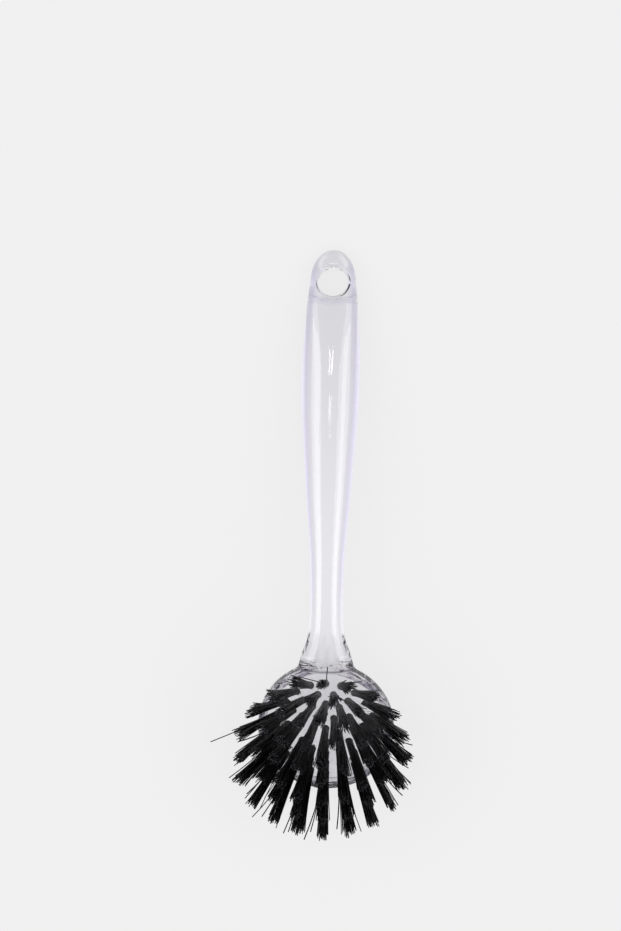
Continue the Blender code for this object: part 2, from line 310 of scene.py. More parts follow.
# %% Sizes of the join between neck and head
# Where rays begin to take the head's height instead of the neck's, and where the head joins in
open_start, open_run = 0.178, 0.018
join_start = 0.186
# How deep the front of the neck sinks below the face at the foot of the step
step_sink = 0.0015
# Width of the fillet on the front, back and sides of the neck
front_fillet, back_fillet, side_fillet = 0.0003, 0.0015, 0.0012
# Share of a section's height up to which the side's fillet has a say, and where all of them end
side_height = 0.6
fillet_end, fillet_fade = 0.1975, 0.005
print("side fillet", side_fillet * 1000, "mm, step sunk", step_sink * 1000, "mm")

# %% Front and bow of the sections
def front_height(places, height):
    """Height of the front: the tab's up to the shoulder, then the spline's, and down at the step.

    At share s of the step's run it has kept (1 - s^3)^(1/3) of its height over the sunk end.
    """
    over_shoulder = ease((places - shoulder_place) / shoulder_run)
    down_step = np.clip((places - step_place) / step_run, 0, 1)
    sunk = head_half - step_sink
    return np.where(
        places < grip_place,
        ring_half_thickness + (height - ring_half_thickness) * over_shoulder,
        sunk + (height - sunk) * (1 - down_step**3) ** (1 / 3),
    )


def bow_at(places):
    """How far a section's sides lag behind its middle: eased in and out at the shoulder and step."""
    bow = shoulder_bow * ease((places - ring_nose) / (shoulder_place - ring_nose))
    bow *= ease((grip_place - places) / (grip_place - shoulder_place - shoulder_run))
    bow += step_bow * ease((places - neck_place) / (step_place - neck_place))
    return bow * (1 - ease((places - handle_length) / head_reach))


print("bow at the shoulder:", round(float(bow_at(shoulder_place)) * 1000, 2), "mm")

# %% Rays from the centre line
# Power that gathers the columns on the neck, and how much lower it is in the head
gather_power, gather_less = 0.85, 0.32
# A ray reaches at most this many times the section's size, and is halved this often
longest_ray, halvings = 3.0, 44
# The sides lag behind the middle by at most this many times the bow
bow_limit = 3.0


def handle_skin(places, turns):
    """Grid of points: row = place along the centre line, column = direction round it.

    A direction is (a cos^q, b sin^q) of the turn, which gathers columns at the corners of flat
    sections. The sides of a section lag behind its middle by the bow times the square of x / a.
    Round the tab's end, at share n of the nose, half widths shrink by sqrt(1 - n^2), and a point at
    share x of one counts as sqrt(x^2 + n^2 (1 - x^2)), so that the edge's rounding runs on round it.
    Each ray is halved until it ends on the skin. Tiny numbers keep its divisions off zero.
    """
    width, front, back, squareness = np.moveaxis(sizes_at(np.clip(places, ring_nose, handle_length)), 1, 0)
    nose = np.maximum(1 - places / ring_nose, 0)
    half_width = width / 2 * np.sqrt(1 - nose**2)
    front, bow = front_height(places, front), bow_at(places)
    in_head = ease((places - open_start) / open_run)
    chord = np.sqrt(np.maximum(head_radius**2 - (places - handle_length - head_reach) ** 2, 1e-9))
    guide = np.maximum(chord, np.where(places < head_place, half_width, 1e-5))
    gather = (gather_power - gather_less * in_head)[:, None]
    side, rise = np.cos(turns)[None], np.sin(turns)[None]
    x_way = guide[:, None] * np.sign(side) * np.abs(side) ** gather
    high_front = front * (1 - in_head) + head_half * in_head
    high = np.where(rise > 0, high_front[:, None], back[:, None])
    h_way = high * np.sign(rise) * np.abs(rise) ** gather
    origin, ahead, up = frame_at(places)
    upright = ease(np.abs(h_way) / high / side_height)
    fillet = np.where(rise > 0, front_fillet, back_fillet) * upright + side_fillet * (1 - upright)
    fillet = np.maximum(fillet * (1 - ease((places - fillet_end) / fillet_fade))[:, None], 1e-6)

    def distance(reach):
        """Smooth minimum of the distances to neck and head at that share of each ray, and the points.

        Before the join there is only the neck, and past the centre line's end only the head.
        """
        x, h = x_way * reach, h_way * reach
        share = np.abs(x) / half_width[:, None]
        lag = bow[:, None] * np.minimum(share**2, bow_limit)
        points = origin[:, None] - ahead[:, None] * lag[..., None] + up[:, None] * h[..., None]
        points[..., 0] += x
        limit = np.where(h > 0, front[:, None], back[:, None])
        closer = np.sqrt(share**2 + nose[:, None] ** 2 * np.maximum(1 - share**2, 0))
        neck = to_section(closer * half_width[:, None], h, half_width[:, None], limit, squareness[:, None])
        neck = np.where(places[:, None] > handle_length, 1.0, neck)
        head = np.where(places[:, None] > join_start, to_head(points), 1.0)
        return smooth_minimum(neck, head, fillet), points

    inside, outside = np.zeros_like(x_way), np.full_like(x_way, longest_ray)
    for _ in range(halvings):
        middle = (inside + outside) / 2
        within = distance(middle)[0] < 0
        inside, outside = np.where(within, middle, inside), np.where(within, outside, middle)
    return distance(inside)[1]


one_section = handle_skin(np.array([grip_place]), np.array([0.0, pi]))
print("the skin is", round(float(np.ptp(one_section[..., 0])) * 1000, 2), "mm wide at the grip")

# %% Rows and columns of the skin
def spaced(*landmarks):
    """Places from landmark to landmark, each span cut into its own number of equal steps."""
    places = [landmarks[0]]
    for end, count in landmarks[1:]:
        places += list(np.linspace(places[-1], end, count + 1)[1:])
    return places


flare_place, skin_columns = 0.1885, 160
# A quarter turn in 40 steps, whose sine and cosine set rows closer where an end rounds off
quarter = np.linspace(0, pi / 2, 41)
nose_places = ring_nose * (1 - np.cos(quarter[1::2]))
shoulder_end = shoulder_place + shoulder_run
tab_to_step = spaced(
    ring_nose, (shoulder_place, 14), (shoulder_end, 14), (grip_place, 40), (neck_place, 84),
    (flare_place, 44), (step_place, 14),
)
step_places = step_place + step_run * np.sin(quarter[3::2])
face_places = spaced(step_place + step_run, (handle_length, 14), (head_place, 18))
far_places = head_place + head_radius * np.sin(quarter[1:-1])
places = np.concatenate([nose_places[:-1], tab_to_step, step_places[:-1], face_places, far_places])
turns = 2 * pi * (np.arange(skin_columns) + 0.5) / skin_columns
skin = handle_skin(places, turns)
print("rows x columns:", skin.shape[:2], "places rise:", bool((np.diff(places) > 0).all()))

# %% [markdown]
# ## From a grid to a mesh
# Neighbouring rows and columns of a grid make four-sided faces. A tube's first and last rows are
# closed by one face each, so that the mesh is a solid with an inside, which clear plastic needs.

# %% Grids into meshes
def tube_faces(rows, columns, start=0):
    """Faces of a closed tube whose points run row by row: quads, and one face over each end."""
    row, column = np.meshgrid(np.arange(rows - 1), np.arange(columns), indexing="ij")
    after = (column + 1) % columns
    near, far = row * columns, (row + 1) * columns
    quads = np.stack([near + column, near + after, far + after, far + column], -1)
    first, last = np.arange(columns)[::-1], (rows - 1) * columns + np.arange(columns)
    return (quads.reshape(-1, 4) + start).tolist() + [(first + start).tolist(), (last + start).tolist()]


def many_tubes(count, rows, columns):
    """Faces of so many equal tubes, whose points follow on one another."""
    return [face for k in range(count) for face in tube_faces(rows, columns, k * rows * columns)]


def mesh_piece(name, points, faces, material=None, sharp=35.0):
    """A new object from points and faces, smooth except where faces meet at more than the sharp angle."""
    mesh = bpy.data.meshes.new(name)
    mesh.from_pydata(np.asarray(points).reshape(-1, 3).tolist(), [], faces)
    mesh.validate()
    mesh.shade_smooth()
    mesh.set_sharp_from_angle(angle=radians(sharp))
    if material:
        mesh.materials.append(material)
    piece = bpy.data.objects.new(name, mesh)
    bpy.context.scene.collection.objects.link(piece)
    return piece


def mesh_points(mesh):
    """All points of a mesh, one row each."""
    points = np.empty(len(mesh.vertices) * 3)
    mesh.vertices.foreach_get("co", points)
    return points.reshape(-1, 3)


def volume_of(mesh):
    """Sum over the triangles of a . (b x c) / 6, which is above zero when the faces point out."""
    mesh.calc_loop_triangles()
    corners = np.empty(len(mesh.loop_triangles) * 3, int)
    mesh.loop_triangles.foreach_get("vertices", corners)
    a, b, c = np.moveaxis(mesh_points(mesh)[corners.reshape(-1, 3)], 1, 0)
    return float((a * np.cross(b, c)).sum() / 6)


handle = mesh_piece("clear_handle", skin, tube_faces(*skin.shape[:2]))
print("handle volume:", round(volume_of(handle.data) * 1e6, 2), "cm3")

# %% [markdown]
# ## Hang hole and tuft holes
# Both kinds of hole are turned shapes. A profile of radius and height is carried round an axis, and
# the closed shape is then taken out of the moulding by a boolean that is applied at once. The hang
# hole opens like a trumpet at both faces, as a mould's core pin with a rounded root leaves it. A
# tuft hole is drilled or moulded blind, with an eased bottom.

# %% Turned cutters
def turned(profile, count):
    """Points (r cos t, r sin t, h) for each (r, h) of a profile and each of count turns t."""
    profile = np.array(profile)
    t = 2 * pi * np.arange(count) / count
    r, h = profile[:, :1], np.repeat(profile[:, 1:], count, 1)
    return np.stack([r * np.cos(t), r * np.sin(t), h], -1)


def cut_out(piece, cutter):
    """Takes the cutter out of the piece for good, and removes the cutter."""
    step = piece.modifiers.new("cut", "BOOLEAN")
    step.operation, step.solver, step.object = "DIFFERENCE", "EXACT", cutter
    with bpy.context.temp_override(object=piece, active_object=piece, selected_objects=[piece]):
        bpy.ops.object.modifier_apply(modifier=step.name)
    bpy.data.objects.remove(cutter, do_unlink=True)


print("rows, columns and numbers of a small turned grid:", turned(((1, 0), (1, 1)), 8).shape)

# %% Hang hole
hang_place, hang_radius, hang_round, hang_sides = 0.0149, 0.0070, 0.0013, 96
# The mouth is rounded through this much, and the cutter then runs on past the tab's face
mouth_turn, run_on = radians(72), 0.003
arc = np.linspace(0, mouth_turn, 7)
mouth = [
    (hang_radius + hang_round * (1 - cos(a)), ring_half_thickness - hang_round * (1 - sin(a)))
    for a in arc
]
past_face = (mouth[-1][0] + run_on, mouth[-1][1] + run_on / np.tan(mouth_turn))
upper = [*mouth, past_face, (past_face[0], past_face[1] + run_on)]
profile = [(r, -h) for r, h in reversed(upper)] + upper
hang_origin, hang_ahead, hang_up = frame_at(np.array(hang_place))
hang_axes = np.stack([(1.0, 0.0, 0.0), -hang_ahead, hang_up])
hang_points = turned(profile, hang_sides) @ hang_axes + hang_origin
cut_out(handle, mesh_piece("hang_cutter", hang_points, tube_faces(len(profile), hang_sides)))
print("hang hole cut,", len(handle.data.polygons), "faces")

# %% Roots and directions of the tufts
tuft_hole_radius, hole_depth, bristle_length = 0.0018, 0.0056, 0.0345
outer_ring_radius, fan_angle = 0.0230, radians(27.0)
# Ring by ring: share of that radius, number of tufts, and turn of the first in degrees
tuft_rings = ((0.0, 1, 0.0), (0.28, 5, 54.0), (0.545, 12, 90.0), (0.765, 15, 78.0), (1.0, 20, 90.0))


def tuft_frames():
    """Label, root on the face, and three axes of each tuft.

    Tuft k of the n in a ring stands k / n of a turn past the first, at the ring's share of the outer
    radius. Its last axis leans outwards, away from straight up, by the fan angle times that share.
    """
    frames = []
    for ring, (share, count, first) in enumerate(tuft_rings, start=1):
        for k in range(count):
            turn = radians(first) + 2 * pi * k / count
            radial = np.array((cos(turn), 0, 0)) - head_ahead * sin(turn)
            lean = fan_angle * share
            way = head_up * cos(lean) + radial * sin(lean)
            root = head_middle + head_up * head_half + radial * outer_ring_radius * share
            side = np.cross((0, 1, 0), way)
            side /= np.linalg.norm(side)
            frames.append((f"{ring}_{k + 1:02d}", root, np.stack([side, np.cross(way, side), way])))
    return frames


tufts = tuft_frames()
print("tufts:", len(tufts), "labels", tufts[0][0], "to", tufts[-1][0])

# %% Tuft holes
# Sides of the cutter, its smallest radius at the bottom, and how far it stands out of the face
hole_sides, hole_middle, hole_top = 28, 0.0002, 0.0033
# Each corner of the eased bottom: how far in from the wall, and how far up
bottom_corners = ((0.0007, 0.0001), (0.0002, 0.0004), (0.0, 0.0009))
eased = [(tuft_hole_radius - inwards, upwards - hole_depth) for inwards, upwards in bottom_corners]
hole_profile = [(hole_middle, -hole_depth), *eased, (tuft_hole_radius, hole_top)]
hole = turned(hole_profile, hole_sides)
holes = np.concatenate([(hole @ axes + root).reshape(-1, 3) for _, root, axes in tufts])
hole_faces = many_tubes(len(tufts), len(hole_profile), hole_sides)
cut_out(handle, mesh_piece("hole_cutter", holes, hole_faces))
print("tuft holes cut, handle faces:", len(handle.data.polygons))
print("handle volume:", round(volume_of(handle.data) * 1e6, 2), "cm3")

# %% [markdown]
# ## Laying the brush down
# So far the handle has its own frame, with the tab's end at the origin. The brush lies on its back,
# on the ring tab and on the far edge of the head, which turns it by a little over four degrees. The
# points are turned, not the object, which stays at the origin. The shift puts the tab's end where
# the solid's is, and the lowest point on the floor.

# %% Lying frame
lying_turn = radians(-4.4263)
lying = np.array(((1, 0, 0), (0, cos(lying_turn), sin(lying_turn)), (0, -sin(lying_turn), cos(lying_turn))))
turned_points = mesh_points(handle.data) @ lying
solid_low, solid_high = (np.array(corner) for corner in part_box("handle"))
lying_shift = np.array((0.0, solid_high[1] - turned_points[:, 1].max(), -turned_points[:, 2].min()))
handle.data.vertices.foreach_set("co", (turned_points + lying_shift).astype(np.float32).ravel())
handle.data.update()
lying_line = frame_at(line_places)[0] @ lying + lying_shift
handle.data.shade_smooth()
handle_sharp = radians(38.0)
handle.data.set_sharp_from_angle(angle=handle_sharp)
points = mesh_points(handle.data)
box_change = np.array((points.min(0), points.max(0))) - (solid_low, solid_high)
print("handle box less the solid's, mm:", np.round(box_change * 1000, 2).tolist())

# %% [markdown]
# ## Where the moulding shows its sides
# From the front the real grip is clear in the middle and lavender towards its sides, because light
# runs a long way through the plastic there. Absorption alone could give that, but a preview that
# knows no absorption would lose it, so part of the colour is a painted tint of the surface that
# stands in for that light. Each point of the mesh keeps its share of the way to the side. The walls
# at the shoulder and at the step, which real plastic draws as darker lines as they bend the light,
# are marked in the same way, as painted shade.

# %% Shares that the plastic's colour follows
line_y, line_z = lying_line[::-1, 1], lying_line[::-1, 2]
side_places = np.clip(np.interp(points[:, 1], line_y, line_places[::-1]), ring_nose, handle_length)
half_share = np.clip(np.abs(points[:, 0]) / (sizes_at(side_places)[:, 0] / 2), 0, 1)
# The painted tint sets in at this share of the half width, and most of it goes again at the outline
tint_start, tint_run = 0.55, 0.33
outline_start, outline_run, outline_loss = 0.86, 0.14, 0.65
painted_side_tint = ease((half_share - tint_start) / tint_run)
painted_side_tint *= 1 - outline_loss * ease((half_share - outline_start) / outline_run)
# It ends where the neck gets thin
tint_end, tint_fade = 0.150, 0.030
painted_side_tint *= 1 - ease((side_places - tint_end) / tint_fade)
on_front = points[:, 2] > np.interp(points[:, 1], line_y, line_z)
# The walls show as painted shade lines that fade as exp(-(d / width)^2) at distance d, the step's by its
# foot
wall_width, step_line_width, step_line_lead = 0.6 * shoulder_run, 0.0006, 0.0004
past_wall = side_places + shoulder_bow * half_share**2 - shoulder_place - shoulder_run / 2
painted_wall_shade = np.exp(-((past_wall / wall_width) ** 2)) * on_front
past_step = side_places + step_bow * half_share**2 - step_place - step_run + step_line_lead
painted_step_shade = np.exp(-((past_step / step_line_width) ** 2)) * on_front
for name, share in (("side", np.maximum(painted_side_tint, painted_wall_shade)), ("painted_step_line", painted_step_shade)):
    handle.data.attributes.new(name, "FLOAT", "POINT").data.foreach_set("value", share.astype(np.float32))
    print(name, "runs to", round(float(share.max()), 3))

# %% [markdown]
# ## Finish of the moulding: clear polystyrene
# Brushes like this are injection moulded from clear polystyrene or SAN, which bends light a little
# more than glass does (index 1.57) and takes the polish of its mould, so its roughness is only a
# few hundredths. One Principled shader with full transmission gives that, and the tint comes first.

# %% Clear polystyrene: tint
clear_plastic, tree = new_material("clear_polystyrene")
# The side attribute carries the painted lavender tint where light runs long through the sides, and the
# painted shade of the shoulder's wall
side = node(tree, "Attribute", {"attribute_name": "side"}).outputs["Fac"]
clear_or_painted_side = {"data_type": "RGBA", 6: linear("#FCFBFE"), 7: linear("#E4DFF5")}
tint = node(tree, "Mix", clear_or_painted_side, Factor=side).outputs[2]
# A painted dark line of shade along the foot of the step
painted_step_line = node(tree, "Attribute", {"attribute_name": "painted_step_line"}).outputs["Fac"]
painted_step_shade_colour = {"data_type": "RGBA", 7: linear("#625D6C")}
tint = node(tree, "Mix", painted_step_shade_colour, Factor=painted_step_line, _6=tint).outputs[2]
where = node(tree, "TexCoord").outputs["Object"]
print("tint: #FCFBFE to #E4DFF5, and #625D6C along the step")

# %% [markdown]
# ## Rim of the head
# The thick rim mirrors the floor, the tufts and itself many times, and the real one is full of soft
# grey streaks that run round it, inside a fine line where its rounding meets the flat face, which
# is the image of the rim's lower edge. Rays find only some of that, so noise draws the rest as
# painted reflections, in the colour and as shallow ripples that break up the mirror images. Its
# coordinates are the angle round the head's middle and the distance from it, which makes the
# streaks 8 mm long and 2.4 mm wide. Under the middle of the neck they nearly stop.

# %% Clear polystyrene: band along the rim
head_centre = tuple(head_middle @ lying + lying_shift)
rim_inner, rim_fade = head_radius - 0.0034, 0.0003
rim_outer, rim_outer_fade = head_radius + 0.0005, 0.0025
less_centre = {"operation": "SUBTRACT", 1: head_centre}
times, larger = {"operation": "MULTIPLY"}, {"operation": "MAXIMUM"}
from_centre = node(tree, "VectorMath", less_centre, _0=where)
reach = node(tree, "VectorMath", {"operation": "LENGTH"}, _0=from_centre).outputs["Value"]
flat_way = node(tree, "SeparateXYZ", None, Vector=from_centre).outputs
angle = node(tree, "Math", {"operation": "ARCTAN2"}, _0=flat_way["X"], _1=flat_way["Y"])
inner_fade = {"From Min": rim_inner, "From Max": rim_inner + rim_fade}
outer_fade = {"From Min": rim_outer, "From Max": rim_outer + rim_outer_fade, "To Min": 1.0, "To Max": 0.0}
band_in = node(tree, "MapRange", inner_fade, Value=reach)
band_out = node(tree, "MapRange", outer_fade, Value=reach)
band = node(tree, "Math", times, _0=band_in, _1=band_out)
off_middle = node(tree, "Math", {"operation": "ABSOLUTE"}, _0=angle)
# Angles from the middle of the neck, in radians, and the share of the streaks that is left there
under_neck = {"From Min": 0.12, "From Max": 0.30, "To Min": 0.2}
calm = node(tree, "MapRange", under_neck, Value=off_middle)
band = node(tree, "Math", times, _0=band, _1=calm)
print("band:", round(rim_inner * 1000, 1), "to", round(rim_outer * 1000, 1), "mm from the head's middle")

# %% Clear polystyrene: rim streaks
streak_long, streak_wide, line_half, line_share = 0.008, 0.0024, 0.0002, 0.55
unrolled = node(tree, "CombineXYZ", None, X=angle, Y=reach)
per_streak = {"operation": "MULTIPLY", 1: (head_radius / streak_long, 1 / streak_wide, 1.0)}
unrolled = node(tree, "VectorMath", per_streak, _0=unrolled)
streaky = {"Scale": 1.0, "Detail": 1.5, "Distortion": 0.6}
streaks = node(tree, "TexNoise", streaky, Vector=unrolled)
# The middle of the noise's range turns from plain to streak, over a faint even grey
streak_range = {"From Min": 0.42, "From Max": 0.62, "To Min": 0.32}
streak_share = node(tree, "MapRange", streak_range, Value=streaks)
painted_reflection_share = node(tree, "Math", times, _0=band, _1=streak_share)
on_line = {"operation": "COMPARE", 1: rim_inner + rim_fade, 2: line_half}
# The fine line is a painted reflection, the image of the rim's lower edge
painted_rim_line = node(tree, "Math", on_line, _0=reach)
painted_rim_line = node(tree, "Math", {"operation": "MULTIPLY", 1: line_share}, _0=painted_rim_line)
painted_reflection_share = node(tree, "Math", larger, _0=painted_reflection_share, _1=painted_rim_line)
# The painted reflections turn the rim's colour towards this grey
painted_reflection_grey = {"data_type": "RGBA", 7: linear("#7C7589")}
tint = node(tree, "Mix", painted_reflection_grey, Factor=painted_reflection_share, _6=tint).outputs[2]
print("rim streaks:", streak_long * 1000, "mm by", streak_wide * 1000, "mm")

# %% [markdown]
# ## Specks, flow waves and handling marks
# The real plastic has a few specks of dust in the melt, 0.3 mm across and about 14 mm apart. The
# melt leaves flow waves about 9 mm long in the surface, which bend the highlights a little, and
# handling leaves fine dull marks. Those are drawn 0.8 mm apart, coarser than real ones, to show.

# %% Clear polystyrene: specks, waves and marks
speck_apart, wave_apart, mark_apart = 0.014, 0.009, 0.0008
dust = node(tree, "TexVoronoi", {"Scale": 1 / speck_apart}, Vector=where)
# In shares of the distance between specks
speck = {"From Min": 0.016, "From Max": 0.008}
dust_share = node(tree, "MapRange", speck, Value=dust)
dust_grey = {"data_type": "RGBA", 7: linear("#8B8791")}
tint = node(tree, "Mix", dust_grey, Factor=dust_share, _6=tint).outputs[2]
flow = {"Scale": 1 / wave_apart, "Detail": 2.0, "Roughness": 0.45}
waves = node(tree, "TexNoise", flow, Vector=where)
handled = {"Scale": 1 / mark_apart, "Detail": 3.0, "Roughness": 0.6}
marks = node(tree, "TexNoise", handled, Vector=where)
polish = {"From Min": 0.45, "From Max": 0.8, "To Min": 0.01, "To Max": 0.06}
rough = node(tree, "MapRange", polish, Value=marks)
wave_bump = node(tree, "Bump", {"Strength": 0.25, "Distance": 0.0004}, Height=waves)
streak_depth = {"Strength": 0.9, "Distance": 0.0010}
bumped = node(tree, "Bump", streak_depth, Height=painted_reflection_share, Normal=wave_bump)
print("roughness of the plastic:", polish["To Min"], "to", polish["To Max"])

# %% [markdown]
# ## Light through the plastic
# Lamps would have to find their way through the plastic to light the floor, which takes many
# samples. So the surface lets shadow rays straight through, and the brush throws the light shadow
# that clear plastic throws in a studio. The bulk absorbs a little: over 15 mm, red and green keep
# about 98 % and blue nearly all, which is the breath of lavender of the real plastic.

# %% Clear polystyrene: shader and bulk
bulk_colour, bulk_density = (0.80, 0.76, 0.933), 5.0
clear = {"IOR": 1.57, "Transmission Weight": 1.0}
shader = node(tree, "BsdfPrincipled", clear, Base_Color=tint, Roughness=rough, Normal=bumped)
shadow_tint = {"Color": linear("#F4F3F8")}
through = node(tree, "BsdfTransparent", shadow_tint)
lamp_ray = node(tree, "LightPath").outputs["Is Shadow Ray"]
mixed = node(tree, "MixShader", None, Fac=lamp_ray, _1=shader, _2=through)
absorbed = {"Color": (*bulk_colour, 1.0), "Density": bulk_density}
bulk = node(tree, "VolumeAbsorption", absorbed)
node(tree, "OutputMaterial", None, Surface=mixed, Volume=bulk)
handle.data.materials.clear()
handle.data.materials.append(clear_plastic)
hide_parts("handle")
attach(handle, "root")
kept = np.exp(-bulk_density * (1 - np.array(bulk_colour)) * 0.015)
print("red, green and blue kept over 15 mm:", kept.round(3).tolist())

# %% [markdown]
# ## Finish of the bristles: black nylon
# Bristles are drawn nylon 6.12 monofilament, about 0.3 mm thick, dyed black in the melt. Drawing
# leaves them satin: a soft highlight runs along each one, and no two are quite the same shade. The
# cut ends are a little greyer, because a guillotine leaves them rough.

# %% Black nylon
black_nylon, tree = new_material("black_nylon_filament")
shade = node(tree, "Attribute", {"attribute_name": "shade"}).outputs["Fac"]
end = node(tree, "Attribute", {"attribute_name": "cut_end"}).outputs["Fac"]
where = node(tree, "TexCoord").outputs["Object"]
# The sheen changes along a filament every 1.2 mm or so
grain = node(tree, "TexNoise", {"Scale": 1 / 0.0012, "Detail": 2.0}, Vector=where)
dyes = {"data_type": "RGBA", 6: linear("#020203"), 7: linear("#111113")}
dyed = node(tree, "Mix", dyes, Factor=shade).outputs[2]
cut_grey = {"data_type": "RGBA", 7: linear("#2C2C31")}
tipped = node(tree, "Mix", cut_grey, Factor=end, _6=dyed).outputs[2]
sheen = {"From Min": 0.3, "From Max": 0.7, "To Min": 0.32, "To Max": 0.5}
satin = node(tree, "MapRange", sheen, Value=grain)
drawn = {"IOR": 1.53, "Specular IOR Level": 0.35}
shader = node(tree, "BsdfPrincipled", drawn, Base_Color=tipped, Roughness=satin)
node(tree, "OutputMaterial", None, Surface=shader)
print("nylon colours run from #020203 to #111113, cut ends #2C2C31")

# %% [markdown]
# ## Tufts
# A real tuft is a bundle of loose filaments, folded over a small metal anchor and shot into its
# hole. One tapered solid would look like a peg, so each filament is a six-sided tube here, drawn
# 0.4 mm thick instead of 0.3 mm so that it shows. They are packed like the seeds of a sunflower,
# they spread a little on the way out, and small sets of them lean the same way, so that the
# bundle's end opens into locks. The lengths differ by a millimetre or so, as in use.

# %% One tuft as arrays
filament_count, filament_radius, filament_sides = 64, 0.0002, 6
bundle_radius, foot_depth = 0.00158, 0.0050
# How far tips move out: as a share of their own radius, then by locks, singly and as a whole tuft
spread_range, lock_lean, single_lean, tuft_lean = (0.5, 1.0), 0.0008, 0.00022, 0.00035
# A fifth of the filaments lean this many times further than the rest
wild_lean, wild_share = 3.5, 0.2
# Bend halfway up, then how lengths differ: by chance, all by the same, and at most by wear
single_bend, length_scatter, length_over, longest_loss = 0.00012, 0.0009, 0.0005, 0.004
# Share of the usual thickness, for all filaments and for strays
thinnest, thickest, stray_thickness = 0.88, 1.1, 1.35
# Waves across a bundle that make its locks, seed of the first tuft, and the golden angle
lock_waves, first_seed, golden_turn = (1.2, 2.2), 4100, pi * (3 - 5**0.5)
stations = np.array((0.0, 0.10, 0.22, 0.42, 0.62, 0.82, 1.0))


def tuft_points(number, strays=()):
    """Points of a bundle in the tuft's own axes: filament by station along it by corner round it.

    Filament k starts at radius R sqrt((k + 1/2) / N) and turn k times the golden angle. At share s
    of the usual length over the face it has moved out by (its spread + the lean of its lock, its
    own and the tuft's) s^1.6, and it is bent by a small sine of pi s. Wear shortens it by its most
    times a random share to the sixth. A stray starts at the bundle's rim, and its tip has its own
    place across and along.
    """
    chance = np.random.default_rng(first_seed + number)
    k = np.arange(filament_count)
    radius = bundle_radius * np.sqrt((k + 0.5) / filament_count)
    turn = k * golden_turn + chance.uniform(0, 2 * pi)
    start = np.stack([radius * np.cos(turn), radius * np.sin(turn)], -1)
    spread = start * chance.uniform(*spread_range)
    wave = chance.uniform(*lock_waves, 2) / bundle_radius
    phase = chance.uniform(0, 2 * pi, 2)
    lock = lock_lean * np.sin(start[:, ::-1] * wave + phase)
    scatter = chance.normal(0, single_lean, (filament_count, 2))
    scatter *= chance.choice((1.0, wild_lean), (filament_count, 1), p=(1 - wild_share, wild_share))
    whole = chance.normal(0, tuft_lean, 2)
    length = bristle_length + chance.normal(0, length_scatter, filament_count) + length_over
    length -= longest_loss * chance.random(filament_count) ** 6
    first_stray = filament_count - len(strays)
    for row, (across, over, long) in enumerate(np.array(strays).reshape(-1, 3) / 1000, first_stray):
        start[row] = bundle_radius * np.array((across, over)) / np.hypot(across, over)
        spread[row] = (across, over) - start[row] - whole
        lock[row], scatter[row], length[row] = 0.0, 0.0, long
    share = np.broadcast_to(stations, (filament_count, len(stations)))
    height = -foot_depth + share * (length[:, None] + foot_depth)
    out = np.maximum(height, 0) / bristle_length
    bend = chance.normal(0, single_bend, (filament_count, 2))
    centre = start[:, None] + (spread + lock + scatter + whole)[:, None] * (out**1.6)[..., None]
    centre = centre + bend[:, None] * np.sin(pi * np.minimum(out, 1))[..., None]
    corner = 2 * pi * np.arange(filament_sides) / filament_sides
    corner = corner + chance.uniform(0, 2 * pi, (filament_count, 1, 1))
    thin = filament_radius * chance.uniform(thinnest, thickest, (filament_count, 1, 1))
    thin[first_stray:] *= stray_thickness
    x = centre[..., 0, None] + thin * np.cos(corner)
    y = centre[..., 1, None] + thin * np.sin(corner)
    z = np.broadcast_to(height[..., None], x.shape)
    return np.stack([x, y, z], -1), chance.random(filament_count)


one = tuft_points(0)[0]
print("a tuft has", one.shape[0], "filaments of", one.shape[1], "rings")
print("tips reach", round(float(np.hypot(*one[:, -1, 0, :2].T).max()) * 1000, 2), "mm from the axis")

# %% [markdown]
# ## Filaments that stand out
# In use some filaments get bent out of their tuft, and the eye finds those first. Chance would put
# them anywhere, so these were set one by one from the photograph, to the half millimetre. They are
# drawn a third thicker than the rest, because each one stands alone.

# %% Filaments that stand out
# Label of the tuft, then how far each tip lies across and over from its axis, and its length, in mm
strays = {
    "5_01": ((-11.0, 2.0, 33.0), (2.5, 6.0, 36.0)), "5_20": ((-1.0, 2.5, 33.0), (5.5, 2.0, 36.0)),
    "4_01": ((7.0, -0.5, 33.0),), "5_17": ((-4.5, 9.5, 37.0),), "5_16": ((-1.0, 8.5, 38.0),),
    "5_05": ((-13.0, -4.0, 37.0),), "5_07": ((-3.0, 3.0, 38.0), (-2.0, 2.0, 37.5)),
    "5_08": ((-1.5, 5.0, 35.0), (-2.0, 3.5, 36.5)), "5_09": ((-6.5, 4.0, 38.0), (-3.5, 3.0, 36.0)),
    "5_10": ((-4.5, 1.5, 37.5), (-2.5, 2.0, 37.0)), "5_11": ((-7.5, -1.0, 36.5), (-5.0, 3.0, 35.0)),
    "5_06": ((3.5, 8.0, 36.0),), "5_04": ((-2.0, -2.5, 36.0),), "5_12": ((-5.5, 3.0, 35.0),),
    "5_14": ((3.0, 7.0, 36.0),), "5_15": ((-0.5, 9.5, 36.0),),
}
print("strays:", sum(len(some) for some in strays.values()))

# %% All tufts
corners_each = len(stations) * filament_sides
filament_faces = many_tubes(filament_count, len(stations), filament_sides)
